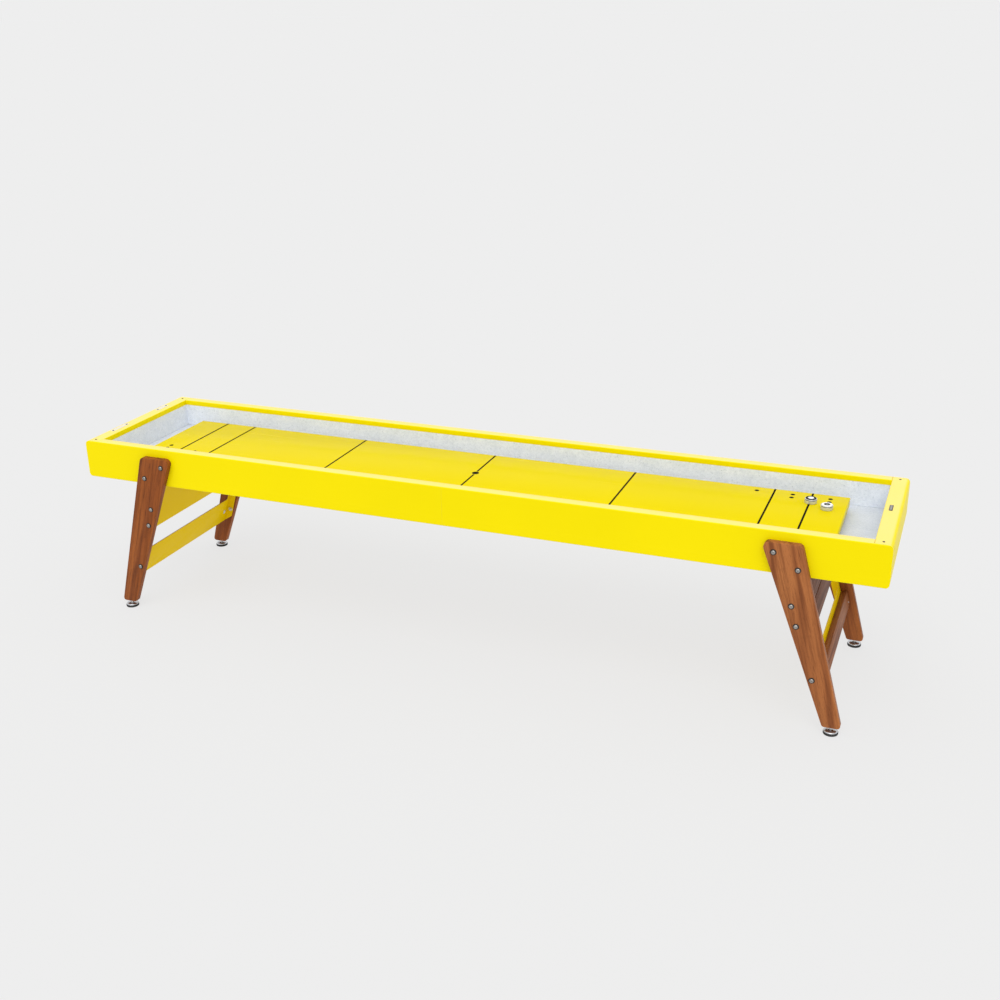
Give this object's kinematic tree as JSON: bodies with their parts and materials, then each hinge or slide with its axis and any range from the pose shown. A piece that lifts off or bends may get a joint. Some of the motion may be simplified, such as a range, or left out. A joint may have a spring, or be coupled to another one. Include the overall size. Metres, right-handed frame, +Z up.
{
  "type": "shuffleboard table",
  "caption": "Long shuffleboard table: a folded yellow steel tray with a felt gutter round a raised glossy board, on leaning hardwood legs with levelling feet, with loose weighted pucks",
  "frame": {"origin": "on the floor, under the middle of the table", "axes": "+X along the table to the right end, +Y from the front to the back, +Z up"},
  "size_m": [3.66, 0.841, 0.828],
  "materials": {
    "yellow_powder_coat": "smooth satin powder coat",
    "board_lacquer": "glossy lacquered playing surface",
    "hardwood": "oiled reddish-brown hardwood with long straight grain",
    "grey_felt": "short flat felt carpet with fine speckle",
    "plywood": "plain birch plywood, hidden",
    "zinc_steel": "bright zinc-plated steel",
    "chrome": "polished chrome plate",
    "rubber": "black moulded rubber",
    "puck_steel": "turned and polished steel",
    "dark_cap_plastic": "dark grey moulded cap",
    "white_cap_plastic": "white moulded cap"
  },
  "bodies": {
    "tray_and_legs": {"apron_lower_left": "hardwood", "apron_lower_right": "hardwood", "apron_upper_left": "hardwood", "apron_upper_right": "hardwood", "board_bearer_centre": "plywood", "board_bearer_left": "plywood", "board_bearer_right": "plywood", "corner_bracket_back_left": "zinc_steel", "corner_bracket_back_right": "zinc_steel", "corner_bracket_front_left": "zinc_steel", "corner_bracket_front_right": "zinc_steel", "cross_member_centre": "plywood", "cross_member_left": "plywood", "cross_member_right": "plywood", "end_frame_left": "yellow_powder_coat", "end_frame_right": "yellow_powder_coat", "end_panel_left": "yellow_powder_coat", "end_panel_right": "yellow_powder_coat", "floor_board_left": "plywood", "floor_board_right": "plywood", "gutter_floor_felt": "grey_felt", "gutter_liner": "plywood", "gutter_wall_felt": "grey_felt", "leg_back_left": "hardwood", "leg_back_right": "hardwood", "leg_bolt_back_left_1": "zinc_steel", "leg_bolt_back_left_2": "zinc_steel", "leg_bolt_back_right_1": "zinc_steel", "leg_bolt_back_right_2": "zinc_steel", "leg_bolt_front_left_1": "zinc_steel", "leg_bolt_front_left_2": "zinc_steel", "leg_bolt_front_right_1": "zinc_steel", "leg_bolt_front_right_2": "zinc_steel", "leg_front_left": "hardwood", "leg_front_right": "hardwood", "playing_board": "board_lacquer", "rail_left": "hardwood", "rail_right": "hardwood", "side_panel_back_left": "yellow_powder_coat", "side_panel_back_right": "yellow_powder_coat", "side_panel_front_left": "yellow_powder_coat", "side_panel_front_right": "yellow_powder_coat", "splice_plate_back": "zinc_steel", "splice_plate_front": "zinc_steel"},
    "foot_front_left": {"foot_pad_front_left": "chrome", "foot_rubber_front_left": "rubber"},
    "stem_front_left": {"foot_stem_front_left": "zinc_steel"},
    "foot_front_right": {"foot_pad_front_right": "chrome", "foot_rubber_front_right": "rubber"},
    "stem_front_right": {"foot_stem_front_right": "zinc_steel"},
    "foot_back_left": {"foot_pad_back_left": "chrome", "foot_rubber_back_left": "rubber"},
    "stem_back_left": {"foot_stem_back_left": "zinc_steel"},
    "foot_back_right": {"foot_pad_back_right": "chrome", "foot_rubber_back_right": "rubber"},
    "stem_back_right": {"foot_stem_back_right": "zinc_steel"},
    "puck_1": {"puck_weight_1": "puck_steel", "puck_cap_1": "dark_cap_plastic"},
    "puck_2": {"puck_weight_2": "puck_steel", "puck_cap_2": "white_cap_plastic"}
  },
  "joints": [
    {"name": "foot_travel_front_left", "type": "slide", "parent": "tray_and_legs", "child": "foot_front_left", "axis": [0, 0, -1], "range_m": [0, 0.015]},
    {"name": "stem_turn_front_left", "type": "hinge", "parent": "foot_front_left", "child": "stem_front_left", "pos_m": [-1.67, -0.3905, 0.022], "axis": [0, 0, -1], "range_deg": [0, 3600]},
    {"name": "foot_travel_front_right", "type": "slide", "parent": "tray_and_legs", "child": "foot_front_right", "axis": [0, 0, -1], "range_m": [0, 0.015]},
    {"name": "stem_turn_front_right", "type": "hinge", "parent": "foot_front_right", "child": "stem_front_right", "pos_m": [1.67, -0.3905, 0.022], "axis": [0, 0, -1], "range_deg": [0, 3600]},
    {"name": "foot_travel_back_left", "type": "slide", "parent": "tray_and_legs", "child": "foot_back_left", "axis": [0, 0, -1], "range_m": [0, 0.015]},
    {"name": "stem_turn_back_left", "type": "hinge", "parent": "foot_back_left", "child": "stem_back_left", "pos_m": [-1.67, 0.3905, 0.022], "axis": [0, 0, -1], "range_deg": [0, 3600]},
    {"name": "foot_travel_back_right", "type": "slide", "parent": "tray_and_legs", "child": "foot_back_right", "axis": [0, 0, -1], "range_m": [0, 0.015]},
    {"name": "stem_turn_back_right", "type": "hinge", "parent": "foot_back_right", "child": "stem_back_right", "pos_m": [1.67, 0.3905, 0.022], "axis": [0, 0, -1], "range_deg": [0, 3600]},
    {"name": "puck_1_slide", "type": "slide", "parent": "tray_and_legs", "child": "puck_1", "axis": [1, 0, 0], "range_m": [-3.03, 0.12]},
    {"name": "puck_2_slide", "type": "slide", "parent": "tray_and_legs", "child": "puck_2", "axis": [1, 0, 0], "range_m": [-3.1, 0.045]}
  ],
  "couplings": [
    {"joint": "stem_turn_front_left", "follows": "foot_travel_front_left", "rad_per_m": 4188.8},
    {"joint": "stem_turn_front_right", "follows": "foot_travel_front_right", "rad_per_m": 4188.8},
    {"joint": "stem_turn_back_left", "follows": "foot_travel_back_left", "rad_per_m": 4188.8},
    {"joint": "stem_turn_back_right", "follows": "foot_travel_back_right", "rad_per_m": 4188.8}
  ]
}
